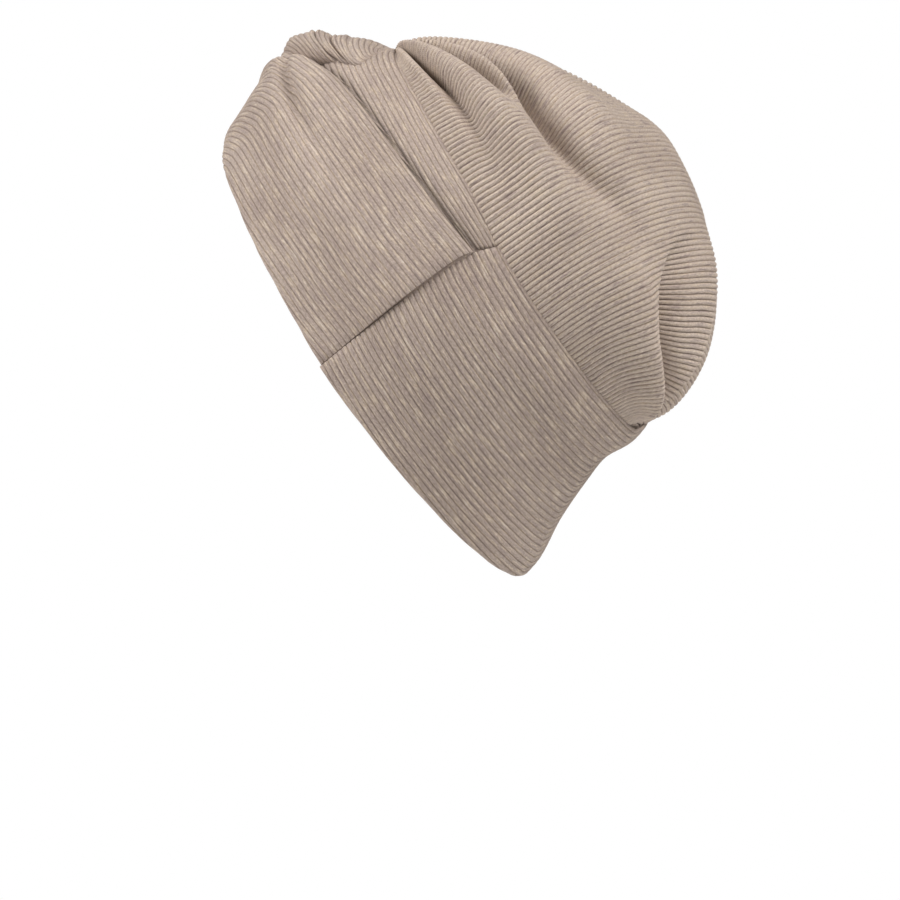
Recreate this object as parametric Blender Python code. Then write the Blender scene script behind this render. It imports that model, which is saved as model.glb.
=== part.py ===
"""A pull-on turban headwrap of ribbed jersey, in the form that it has on a head.

Metres, +Z up, the face towards -Y and the wearer's left towards +X. The origin is the middle of
the head opening. The wrap is modelled in a band frame, whose Z is square to the brim, and an
empty then leans that frame back as the wrap sits on the head: high on the forehead, low on the
nape.

Sizes are in millimetres, and to_metres turns them into Blender's metres at the end. Angles round
the band count from the middle of the forehead: 90 is the wearer's left side seam, 180 the nape,
and -90 the right side seam.
"""

import math

import bmesh
import bpy
from mathutils import Vector

# How the brim leans back on the head, in degrees about X.
BRIM_LEAN = -54.0

# The head form under the wrap, by height above the brim: how far it reaches forwards, backwards
# and to each side of the band frame's own axis.
FORM_FRONT = ((0, 111.0), (22, 117.5), (44, 121.0), (60, 120.0), (76, 113.0), (92, 100.0), (106, 86.0))
FORM_BACK = (
    (0, 110.2), (10, 107.8), (26, 99.9), (46, 93.0), (59, 89.8), (74, 91.3), (88, 87.5), (106, 80.0),
)
FORM_SIDE = ((0, 72.5), (24, 76.0), (48, 78.0), (70, 76.5), (95, 70.0), (106, 66.0))
FORM_WIDEST = 78.0

# Heights of the brim and of the seam that joins the crown to the bands, by angle.
BRIM_HEIGHT = (
    (0, 1.6), (25, 3.4), (48, 5.0), (68, 4.0), (90, 1.2), (105, 0.3), (150, 0.3), (180, 0.0),
)
SEAM_HEIGHT = (
    (0, 91.5), (20, 94.0), (45, 98.0), (70, 99.2), (82, 97.8), (94, 95.2), (108, 93.2), (125, 91.0),
    (155, 86.0), (180, 81.0),
)

# Cloth. The bands are folded double and the crown is a single layer.
BAND_WALL = 3.0
WRAP_WALL = 2.4
CROWN_WALL = 1.8
SEAM_GAP = 0.5
BAND_ROUNDING = 0.8

# Each wrap has a broad fold that starts at its side seam and crosses the middle of the forehead,
# over the narrower fold of the other wrap. The ridge between the two folds of a wrap, by angle,
# as a share of the band's height: from the brim on the left, from the crown seam on the right.
LEFT_RIDGE = (
    (0, 0.45), (5, 0.51), (9, 0.58), (17, 0.652), (24, 0.698), (30, 0.735), (40, 0.768), (58, 0.81),
    (77, 0.85), (90, 0.9),
)
RIGHT_RIDGE = (
    (0, 0.55), (9, 0.6), (17, 0.652), (24, 0.698), (30, 0.735), (40, 0.768), (58, 0.81), (77, 0.85),
    (90, 0.9),
)
RIDGE_STEP = 2.4
RIDGE_ROUNDING = 1.2
TUCK_SHARE = 0.06
NARROW_END_ANGLE = 0.2

# Where the broad folds cross, each stands up into a roll. The thickness of the roll goes by the
# distance from the line that parts the two, as a share of the roll's width.
LEFT_ROLL = (
    (0, 9.5), (0.1, 11.2), (0.2, 10.0), (0.3, 8.0), (0.5, 6.8), (0.73, 5.6), (0.87, 5.4), (1, 1.8),
)
RIGHT_ROLL = (
    (0, 11.0), (0.16, 14.3), (0.35, 13.0), (0.44, 12.8), (0.58, 8.5), (0.7, 6.6), (0.8, 5.0), (1, 0.5),
)
ROLL_FADE_ANGLE = 48.0
ROLL_END_ANGLE = 22.5
ROLL_GAP_SHARE = 0.012
ROLL_EDGE_SHARE = 0.05

# A roll lies over the other wrap from this angle on, and its tucked end keeps at least these
# shares of its width and height, sinks by this share of the wrap's wall, and is this thick.
CROSSING_ANGLE = 0.0
END_WIDTH_SHARE = 0.12
END_HEIGHT_SHARE = 0.25
END_SINK_SHARE = 0.2
END_WALL = 0.8

# The crown's outline over the middle of the head, as (back, up) from the front gather to the back.
CROWN_OUTLINE = (
    (-104.0, 92.0), (-100.5, 100.0), (-86.0, 116.6), (-63.3, 136.4), (-37.5, 152.0), (-11.0, 162.2),
    (9.5, 161.8), (32.0, 156.0), (54.0, 147.2), (73.5, 129.6), (85.5, 111.5), (90.5, 97.0), (88.0, 81.5),
)
# How much the crown puffs out to the sides, how round its top is, and how soon its folds die away
# towards the ears. It starts at the middle of the band's wall and stays clear above the seam.
CROWN_PUFF = 8.1
CROWN_ROUNDNESS = 0.92
FOLD_FADE = 0.5
GATHER_ANGLE = 4.0
CROWN_CLEARANCE = 0.1
NEAR_POLE = 0.9999

# The crown's folds run from its front and back gathers, across the ribs. Each one has the line of
# its crest, in degrees from the middle of the head towards the left ear, and its height in
# millimetres, both by the share of the way from the front gather to the back one. A height below
# 0 is a valley. The last number is the fold's half width in degrees.
CROWN_FOLDS = (
    (((0, 78), (0.25, 79), (0.45, 86)), ((0, 1.5), (0.12, 4.0), (0.2, 3.0), (0.3, 0.0)), 5.0),
    (((0, 70), (0.2, 71), (0.33, 74), (0.46, 82)), ((0, -3.0), (0.12, -9.0), (0.2, -9.0), (0.5, 0.0)), 5.0),
    (((0, 60), (0.2, 57.5), (0.45, 62), (0.6, 62)), ((0, 3.0), (0.12, 7.5), (0.3, 7.5), (0.6, 0.0)), 8.0),
    (((0, 46), (0.22, 46), (0.36, 50)), ((0, -2.0), (0.12, -6.5), (0.22, -6.5), (0.36, 0.0)), 4.5),
    (((0, 38), (0.14, 36), (0.22, 39), (0.36, 47)), ((0, 1.0), (0.12, 4.5), (0.24, 4.5), (0.36, 0.0)), 4.5),
    (((0, 27), (0.14, 24.5), (0.25, 32), (0.36, 43.5), (0.44, 49), (0.58, 40)),
     ((0, -3.0), (0.1, -8.0), (0.3, -10.0), (0.45, -7.0), (0.62, 0.0)), 5.5),
    (((0, 14), (0.15, 9), (0.3, 20), (0.5, 32), (0.62, 28)),
     ((0, 2.0), (0.15, 5.0), (0.35, 5.5), (0.62, 0.0)), 12.0),
    (((0, -12), (0.5, -16)), ((0, 0.0), (0.18, -5.0), (0.42, 0.0)), 6.0),
    (((0, -30), (0.5, -34)), ((0, 2.0), (0.2, 4.5), (0.5, 0.0)), 10.0),
    (((0, -48), (0.5, -54)), ((0, 0.0), (0.2, -6.0), (0.5, 0.0)), 6.0),
    (((0, -64), (0.5, -68)), ((0, 1.0), (0.2, 3.5), (0.42, 0.0)), 8.0),
    (((0.62, 46), (0.8, 50), (0.9, 40), (1, 20)), ((0.6, 0.0), (0.72, 4.0), (0.8, 6.0), (1, 0.0)), 13.0),
    (((0.64, 10), (0.76, 28), (0.84, 28), (0.96, 0)),
     ((0.64, 0.0), (0.72, -8.0), (0.8, -13.0), (1, 0.0)), 9.5),
    (((0.6, -6), (0.8, -8), (0.95, 2)), ((0.6, 0.0), (0.82, 3.5), (1, 0.0)), 8.0),
    (((0.6, -26), (1, -22)), ((0.6, 0.0), (0.8, -6.5), (1, 0.0)), 8.0),
    (((0.6, -50), (1, -48)), ((0.58, 0.0), (0.8, 5.0), (1, 0.0)), 14.0),
)

# Mesh divisions.
BAND_COLUMNS, BAND_ROWS = 30, 7
WRAP_STEP = 4.5
BROAD_ROWS, NARROW_ROWS = 8, 3
CROWN_RIBS, CROWN_STEPS = 26, 52

BEIGE = (0.478, 0.371, 0.296)
BEIGE_DEEP = (0.445, 0.344, 0.274)


def smooth_step(low, high, value):
    """0 below low, 1 above high, and a smooth rise between them."""
    share = min(1.0, max(0.0, (value - low) / (high - low)))
    return share * share * (3 - 2 * share)


def through(points, at):
    """The value at a place on a smooth curve through (place, value) points."""
    last = len(points) - 1
    i = 0
    while i < last - 1 and at > points[i + 1][0]:
        i += 1
    (x0, y0), (x1, y1) = points[i], points[i + 1]
    slopes = []
    for k in (i, i + 1):
        before, after = points[max(k - 1, 0)], points[min(k + 1, last)]
        slopes.append((after[1] - before[1]) / (after[0] - before[0]) * (x1 - x0))
    t = min(1.0, max(0.0, (at - x0) / (x1 - x0)))
    rise = t * t * (3 - 2 * t)
    return y0 + (y1 - y0) * rise + slopes[0] * t * (1 - t) ** 2 - slopes[1] * t * t * (1 - t)


def along_outline(points, share):
    """A point on a smooth curve through 2-D points, at a share of its length."""
    lengths = [0.0]
    for a, b in zip(points, points[1:]):
        lengths.append(lengths[-1] + math.dist(a, b))
    at = share * lengths[-1]
    return [through([(s, p[k]) for s, p in zip(lengths, points)], at) for k in (0, 1)]


def on_form(angle, height, depth=0.0):
    """A point of the head form, or that far outside it, in the band frame."""
    turn = math.radians(angle)
    reach = through(FORM_FRONT if math.cos(turn) > 0 else FORM_BACK, height)
    side = through(FORM_SIDE, height)
    outward = Vector((math.sin(turn) / side, -math.cos(turn) / reach, 0)).normalized()
    return Vector((side * math.sin(turn), -reach * math.cos(turn), height)) + outward * depth


def folded(angle):
    """An angle as the same angle on the left half, 0 to 180."""
    return abs((angle + 180) % 360 - 180)


def brim_height(angle):
    """Height of the brim's edge at an angle of either side."""
    return through(BRIM_HEIGHT, folded(angle))


def seam_height(angle):
    """Height of the crown seam at an angle of either side."""
    return through(SEAM_HEIGHT, folded(angle))


def to_metres(point):
    """A point in millimetres as Blender's metres."""
    return Vector(point) / 1000


def material(name, colour):
    """A plain cloth material."""
    made = bpy.data.materials.new(name)
    made.use_nodes = True
    shader = made.node_tree.nodes["Principled BSDF"]
    shader.inputs["Base Color"].default_value = (*colour, 1.0)
    shader.inputs["Roughness"].default_value = 0.9
    shader.inputs["Metallic"].default_value = 0.0
    return made


def cloth_object(name, mesh, frame, colour):
    """A named object of that mesh, which leans with the band frame."""
    made = bpy.data.objects.new(name, mesh)
    bpy.context.collection.objects.link(made)
    made.parent = frame
    mesh.materials.append(material(name + "_cloth", colour))
    return made


def closed_wall(name, outer, inner):
    """A closed mesh between two grids of points that have the same rows and columns."""
    build = bmesh.new()
    rows, columns = len(outer), len(outer[0])
    skins = [[[build.verts.new(to_metres(p)) for p in row] for row in grid] for grid in (outer, inner)]
    for skin in skins:
        for r in range(rows - 1):
            for c in range(columns - 1):
                build.faces.new((skin[r][c], skin[r][c + 1], skin[r + 1][c + 1], skin[r + 1][c]))
    edge = [(0, c) for c in range(columns)] + [(r, columns - 1) for r in range(1, rows)]
    edge += [(rows - 1, c) for c in range(columns - 2, -1, -1)] + [(r, 0) for r in range(rows - 2, 0, -1)]
    for (r0, c0), (r1, c1) in zip(edge, edge[1:] + edge[:1]):
        build.faces.new((skins[0][r0][c0], skins[0][r1][c1], skins[1][r1][c1], skins[1][r0][c0]))
    bmesh.ops.triangulate(build, faces=build.faces)
    bmesh.ops.recalc_face_normals(build, faces=build.faces)
    mesh = bpy.data.meshes.new(name)
    build.to_mesh(mesh)
    build.free()
    mesh.shade_smooth()
    return mesh


def back_band(frame):
    """The folded band round the back of the head, from side seam to side seam."""
    clear = math.degrees(SEAM_GAP / FORM_WIDEST)
    outer, inner = [], []
    for row in range(BAND_ROWS + 1):
        share = row / BAND_ROWS
        rounding = BAND_ROUNDING if row in (0, BAND_ROWS) else 0.0
        outer_row, inner_row = [], []
        for column in range(BAND_COLUMNS + 1):
            angle = 90 + clear + (180 - 2 * clear) * column / BAND_COLUMNS
            low = brim_height(angle)
            height = low + share * (seam_height(angle) - SEAM_GAP - low)
            outer_row.append(on_form(angle, height, BAND_WALL - rounding))
            inner_row.append(on_form(angle, height, rounding))
        outer.append(outer_row)
        inner.append(inner_row)
    return cloth_object("back_band", closed_wall("back_band", outer, inner), frame, BEIGE_DEEP)


def wrap_height(side, angle, share):
    """Height at a share of the band's width: from the brim on the left, from the seam on the right."""
    low, high = brim_height(angle), seam_height(angle) - SEAM_GAP
    return low + (high - low) * (share if side > 0 else 1 - share)


def broad_fold(side, ridge_line, other_ridge, roll_line):
    """The broad fold of a wrap, as outer and inner grids: side seam, ridge, roll and tucked end."""
    clear = math.degrees(SEAM_GAP / FORM_WIDEST)
    outer, inner = [], []
    for column in range(round((90 + ROLL_END_ANGLE) / WRAP_STEP) + 1):
        angle = min(90 - clear, 90 - column * WRAP_STEP)
        crossed = max(0.0, -angle) / ROLL_END_ANGLE
        rolled = 1 - smooth_step(0, ROLL_FADE_ANGLE, max(0.0, angle))
        open_end = math.sqrt(max(0.0, 1 - crossed**2))
        if angle > 0:
            outer_edge, ridge = 0.0, through(ridge_line, angle) - ROLL_GAP_SHARE / 2
        else:
            ridge = 1 - through(other_ridge, -angle) - ROLL_GAP_SHARE
            outer_edge = ridge - (ridge - ROLL_EDGE_SHARE * (crossed > 0)) * max(open_end, END_WIDTH_SHARE)
        over = angle <= CROSSING_ANGLE
        base = WRAP_WALL + SEAM_GAP if over else 0.0
        outer_line, inner_line = [], []
        for row in range(BROAD_ROWS + 1):
            across = row / BROAD_ROWS
            share = outer_edge + (ridge - outer_edge) * across
            step = RIDGE_STEP * smooth_step(0, 1, across) - RIDGE_ROUNDING * (row == BROAD_ROWS)
            lift = step * (1 - rolled) + through(roll_line, 1 - across) * rolled
            if over:
                lift = lift * max(END_HEIGHT_SHARE, open_end) - WRAP_WALL * (1 - open_end) * END_SINK_SHARE
            height = wrap_height(side, angle, share)
            outer_line.append(on_form(side * angle, height, max(WRAP_WALL + lift, base + END_WALL)))
            inner_line.append(on_form(side * angle, height, base))
        outer.append(outer_line)
        inner.append(inner_line)
    return outer, inner


def narrow_fold(side, ridge_line):
    """The narrow fold of a wrap, from under the ridge to the band's other edge."""
    clear = math.degrees(SEAM_GAP / FORM_WIDEST)
    outer, inner = [], []
    for column in range(round(90 / WRAP_STEP) + 1):
        angle = min(90 - clear, max(NARROW_END_ANGLE, 90 - column * WRAP_STEP))
        tucked = through(ridge_line, angle) - TUCK_SHARE
        shares = [tucked + (1 - tucked) * row / NARROW_ROWS for row in range(NARROW_ROWS + 1)]
        heights = [wrap_height(side, angle, share) for share in shares]
        outer.append([on_form(side * angle, height, WRAP_WALL) for height in heights])
        inner.append([on_form(side * angle, height) for height in heights])
    return outer, inner


def wrap(name, side, ridges, roll_line, frame):
    """One front wrap: its broad and its narrow fold, joined along the ridge."""
    ridge_line, other_ridge = ridges
    broad = closed_wall(name, *broad_fold(side, ridge_line, other_ridge, roll_line))
    narrow = closed_wall(name + "_narrow", *narrow_fold(side, ridge_line))
    made = cloth_object(name, broad, frame, BEIGE)
    mate = cloth_object(name + "_narrow", narrow, frame, BEIGE)
    mate.hide_render = True
    mate.display_type = "WIRE"
    union = made.modifiers.new("narrow_fold", "BOOLEAN")
    union.operation = "UNION"
    union.solver = "EXACT"
    union.object = mate
    return made


def crown_base(share, turn):
    """A point of the crown without its folds: share runs from the front gather to the back one."""
    angle = GATHER_ANGLE + (180 - 2 * GATHER_ANGLE) * share
    seam = on_form(angle, seam_height(angle), BAND_WALL / 2)
    top_back, top_up = along_outline(CROWN_OUTLINE, share)
    rise = max(0.0, math.cos(turn)) ** CROWN_ROUNDNESS
    puff = CROWN_PUFF * math.sin(math.pi * share)
    across = seam.x * math.sin(turn) + puff * math.sin(2 * turn)
    back = seam.y + (top_back - seam.y) * rise
    up = seam.z + (top_up - seam.z) * rise
    return Vector((across, back, up))


def fold_height(share, turn):
    """How far the crown's folds lift it, at a share from front to back and a turn over the head."""
    total = 0.0
    for crest, heights, half_width in CROWN_FOLDS:
        if heights[0][0] <= share <= heights[-1][0]:
            off_crest = (math.degrees(turn) - through(crest, share)) / half_width
            total += through(heights, share) * math.exp(-(off_crest**2))
    return total * max(0.0, math.cos(turn)) ** FOLD_FADE


def above_seam(point):
    """The point, moved up where it would be lower than the band under it."""
    angle = math.degrees(math.atan2(point.x, -point.y))
    return Vector((point.x, point.y, max(point.z, seam_height(angle) + CROWN_CLEARANCE)))


def crown(frame):
    """The puffed crown, gathered at the front knot and above the nape."""
    steps = range(CROWN_STEPS + 1)
    turns = [math.pi * (step / CROWN_STEPS - 0.5) * NEAR_POLE for step in steps]
    grid = [[crown_base(rib / CROWN_RIBS, turn) for turn in turns] for rib in range(CROWN_RIBS + 1)]
    normals = []
    for r, row in enumerate(grid):
        ahead, behind = grid[min(r + 1, CROWN_RIBS)], grid[max(r - 1, 0)]
        across = [row[min(c + 1, CROWN_STEPS)] - row[max(c - 1, 0)] for c in steps]
        normals.append([across[c].cross(ahead[c] - behind[c]).normalized() for c in steps])
    outer, inner = [], []
    for r, row in enumerate(grid):
        lifts = [fold_height(r / CROWN_RIBS, turn) for turn in turns]
        spots = list(zip(row, normals[r], lifts))
        outer.append([above_seam(p + n * lift) for p, n, lift in spots])
        inner.append([above_seam(p + n * (lift - CROWN_WALL)) for p, n, lift in spots])
    return cloth_object("crown", closed_wall("crown", outer, inner), frame, BEIGE)


def main():
    """Clears the scene and builds the headwrap."""
    for old in list(bpy.data.objects):
        bpy.data.objects.remove(old)
    frame = bpy.data.objects.new("band_frame", None)
    bpy.context.collection.objects.link(frame)
    frame.rotation_euler = (math.radians(BRIM_LEAN), 0, 0)
    back_band(frame)
    wrap("left_wrap", 1, (LEFT_RIDGE, RIGHT_RIDGE), LEFT_ROLL, frame)
    wrap("right_wrap", -1, (RIGHT_RIDGE, LEFT_RIDGE), RIGHT_ROLL, frame)
    crown(frame)


main()
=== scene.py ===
"""The looks of a pull-on turban headwrap: its rib-knit cloth, seams and folds, and a plain studio.

The cloth is worked out in a band frame in millimetres, whose Z is square to the brim, and is then
leaned back as the wrap sits on a head. Angles round the band count from the middle of the forehead:
90 is the wearer's left side seam, 180 the nape and -90 the right side seam.
"""

import logging
import math
from dataclasses import dataclass
from enum import Enum

import bmesh
import bpy
import numpy as np
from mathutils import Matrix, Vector

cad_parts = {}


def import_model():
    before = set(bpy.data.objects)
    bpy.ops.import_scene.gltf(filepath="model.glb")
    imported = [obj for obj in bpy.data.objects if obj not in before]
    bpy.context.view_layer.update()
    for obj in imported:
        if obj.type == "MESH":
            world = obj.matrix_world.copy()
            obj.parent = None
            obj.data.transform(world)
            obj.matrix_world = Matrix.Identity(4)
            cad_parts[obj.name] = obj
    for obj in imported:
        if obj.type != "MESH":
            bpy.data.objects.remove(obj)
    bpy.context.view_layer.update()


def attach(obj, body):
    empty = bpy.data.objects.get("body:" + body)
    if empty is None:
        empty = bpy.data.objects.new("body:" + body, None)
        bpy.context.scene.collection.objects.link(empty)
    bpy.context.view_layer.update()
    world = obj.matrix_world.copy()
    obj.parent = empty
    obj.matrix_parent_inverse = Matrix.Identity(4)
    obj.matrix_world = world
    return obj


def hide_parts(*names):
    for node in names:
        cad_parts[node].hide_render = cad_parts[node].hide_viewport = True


Curve = tuple[tuple[float, float], ...]
Grid = np.ndarray

log = logging.getLogger("headwrap")

# The jersey's ribs, from groove to groove, and where each rib is sampled, as shares of that.
RIB_PITCH = 2.75
RIB_PLACES = (0.0, 0.14, 0.38, 0.62, 0.86)
# How sharply a rib's sides fall into the groove: 1 is a sine, less is plumper.
RIB_PLUMPNESS = 0.62
SEAM_GAP = 0.2
# Columns beside a side seam, in degrees from it, so that its rounded edge is smooth.
SEAM_COLUMNS = (0.0, 0.2, 0.5, 0.9, 1.5)
# Shorter vectors than this have no direction.
SHORTEST = 1e-9
# The right wrap stands up highest where it crosses the left one, and is creased there: its lift in
# millimetres by the share of its width from the ridge, and its creases' depth by rib.
RIGHT_ROLL = (
    (0, 11), (0.05, 12.4), (0.16, 14.3), (0.26, 13.7), (0.35, 13), (0.44, 13.3), (0.48, 11), (0.58, 8),
    (0.64, 7.8), (0.7, 6.2), (0.8, 5), (0.85, 3), (0.9, 1), (1, 0.5),
)
RIGHT_RIDGE = (
    (0, 0.55), (9, 0.6), (17, 0.652), (24, 0.698), (30, 0.735), (40, 0.768), (58, 0.81), (77, 0.85),
    (90, 0.9),
)
RIGHT_CREASES = (
    (0, 0), (9.6, 0), (10.2, 2), (10.8, 0), (12.4, 0), (13, 1.5), (13.6, 0), (16, 0), (16.4, 0.8),
    (16.8, 0),
)


class Side(Enum):
    """Which side of the head a wrap starts on."""

    LEFT = 1
    RIGHT = -1


def smooth_step(low: float, high: float, value: Grid) -> Grid:
    """A smooth rise from 0 to 1.

    Args:
        low: Where the rise starts.
        high: Where it ends.
        value: The places to read.

    Returns:
        The rise at each place.
    """
    share = np.clip((np.asarray(value, float) - low) / (high - low), 0.0, 1.0)
    return share * share * (3 - 2 * share)


def through(curve: Curve, at: Grid) -> Grid:
    """Reads a smooth curve through (place, value) points.

    Args:
        curve: The points, by rising place.
        at: The places to read.

    Returns:
        The curve's value at each place.
    """
    places, values = (np.array(column, float) for column in zip(*curve))
    padded_places = np.concatenate((places[:1], places, places[-1:]))
    padded_values = np.concatenate((values[:1], values, values[-1:]))
    slopes = (padded_values[2:] - padded_values[:-2]) / (padded_places[2:] - padded_places[:-2])
    at = np.clip(np.asarray(at, float), places[0], places[-1])
    i = np.clip(np.searchsorted(places, at, side="left") - 1, 0, len(places) - 2)
    width = places[i + 1] - places[i]
    t = (at - places[i]) / width
    rise = t * t * (3 - 2 * t)
    bend = slopes[i] * width * t * (1 - t) ** 2 - slopes[i + 1] * width * t * t * (1 - t)
    return values[i] + (values[i + 1] - values[i]) * rise + bend


def unit(vectors: Grid) -> Grid:
    """The vectors at length 1."""
    return vectors / np.maximum(np.linalg.norm(vectors, axis=-1, keepdims=True), SHORTEST)


def grid_normals(grid: Grid, closed: bool = False) -> Grid:
    """The surface normals of a grid of points.

    Args:
        grid: The points, as (rows, columns, 3).
        closed: Whether the last row meets the first.

    Returns:
        A unit normal for each point, which is rows cross columns.
    """
    down = np.roll(grid, -1, 0) - np.roll(grid, 1, 0) if closed else np.gradient(grid, axis=0)
    along = np.gradient(grid, axis=1)
    return unit(np.cross(down, along))


def run_along(grid: Grid) -> Grid:
    """The distance along each row of a grid, from its middle.

    Args:
        grid: The points, as (rows, columns, 3).

    Returns:
        The distance of each point, below 0 before the middle.
    """
    steps = np.linalg.norm(np.diff(grid, axis=1), axis=2)
    run = np.concatenate((np.zeros((len(grid), 1)), np.cumsum(steps, axis=1)), axis=1)
    return run - run[:, -1:] / 2


def groove_share(rib: Grid) -> Grid:
    """How deep in a groove each rib coordinate is: 0 on the crest of a rib, 1 at the bottom."""
    return 1 - np.abs(np.sin(np.pi * rib)) ** RIB_PLUMPNESS


@dataclass(frozen=True)
class HeadForm:
    """The head form under the wrap, and the brim and seam lines round it, in millimetres.

    front, back and side are how far the form reaches, by height above the brim. brim, nape_brim
    and seam are heights by angle: of the wraps' lower edge, the back band's, and the crown seam.
    """

    front: Curve = ((0, 111), (22, 117.5), (44, 121), (60, 120), (76, 113), (92, 100), (106, 86))
    back: Curve = (
        (0, 110.2), (10, 107.8), (26, 99.9), (46, 93), (59, 89.8), (74, 91.3), (88, 87.5), (106, 80),
    )
    side: Curve = ((0, 72.5), (24, 76), (48, 78), (70, 76.5), (95, 70), (106, 66))
    brim: Curve = ((0, 1.8), (25, 3.6), (42, 4.6), (58, 4), (75, 3), (90, 1.2))
    nape_brim: Curve = ((90, 0.2), (105, 0.3), (150, 0.3), (180, 0))
    seam: Curve = (
        (0, 91.5), (20, 94), (45, 98), (70, 99.2), (82, 97.8), (94, 95.2), (108, 93.2), (125, 91),
        (155, 86), (180, 81),
    )
    lean: float = -54.0

    def point(self, angle: Grid, height: Grid, depth: Grid = 0.0) -> Grid:
        """A point on the form, or that far outside it.

        Args:
            angle: Degrees round the band.
            height: Height above the brim's plane.
            depth: How far outside the form.

        Returns:
            The points, in the band frame.
        """
        angle, height, depth = np.broadcast_arrays(angle, height, depth)
        turn = np.radians(angle)
        reach = np.where(np.cos(turn) > 0, through(self.front, height), through(self.back, height))
        side = through(self.side, height)
        level = np.zeros_like(side)
        outward = unit(np.stack((np.sin(turn) / side, -np.cos(turn) / reach, level), axis=-1))
        place = np.stack((side * np.sin(turn), -reach * np.cos(turn), height), axis=-1)
        return place + outward * depth[..., None]

    def edge(self, curve: Curve, angle: Grid) -> Grid:
        """The height of the brim or the seam at angles of either side."""
        return through(curve, np.abs((np.asarray(angle, float) + 180) % 360 - 180))

    def leaned(self, points: Grid) -> Grid:
        """Leans points back as the wrap sits on a head.

        Args:
            points: Points of the band frame, in millimetres.

        Returns:
            World points, in metres.
        """
        turn = math.radians(self.lean)
        x, y, z = np.moveaxis(points, -1, 0)
        back = y * math.cos(turn) - z * math.sin(turn)
        up = y * math.sin(turn) + z * math.cos(turn)
        return np.stack((x, back, up), axis=-1) / 1000


def hex_colour(code: str) -> tuple[float, float, float, float]:
    """An sRGB hex colour as linear RGBA.

    Args:
        code: Six hex digits, with a leading #.

    Returns:
        The colour in linear light, with an alpha of 1.
    """
    shares = [int(code[i:i + 2], 16) / 255 for i in (1, 3, 5)]
    linear = [s / 12.92 if s <= 0.04045 else ((s + 0.055) / 1.055) ** 2.4 for s in shares]
    return (*linear, 1.0)


def add_node(tree: bpy.types.NodeTree, kind: str, settings: dict | None = None,
             inputs: dict | None = None) -> bpy.types.Node:
    """Adds a node with its settings and links.

    Args:
        tree: The material's or world's node tree.
        kind: The node's type name.
        settings: The node's own properties.
        inputs: Socket names or numbers, each with a value or a socket to link from.

    Returns:
        The new node.
    """
    node = tree.nodes.new(kind)
    for name, value in (settings or {}).items():
        setattr(node, name, value)
    for name, value in (inputs or {}).items():
        if isinstance(value, bpy.types.NodeSocket):
            tree.links.new(value, node.inputs[name])
        else:
            node.inputs[name].default_value = value
    return node


def set_stops(ramp: bpy.types.Node, stops: tuple[tuple[float, str], ...]) -> None:
    """Gives a colour ramp its stops.

    Args:
        ramp: The ramp node.
        stops: Each stop's place and hex colour, by rising place.
    """
    elements = ramp.color_ramp.elements
    while len(elements) > 1:
        elements.remove(elements[-1])
    elements[0].position, elements[0].color = stops[0][0], hex_colour(stops[0][1])
    for place, code in stops[1:]:
        elements.new(place).color = hex_colour(code)


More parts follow.
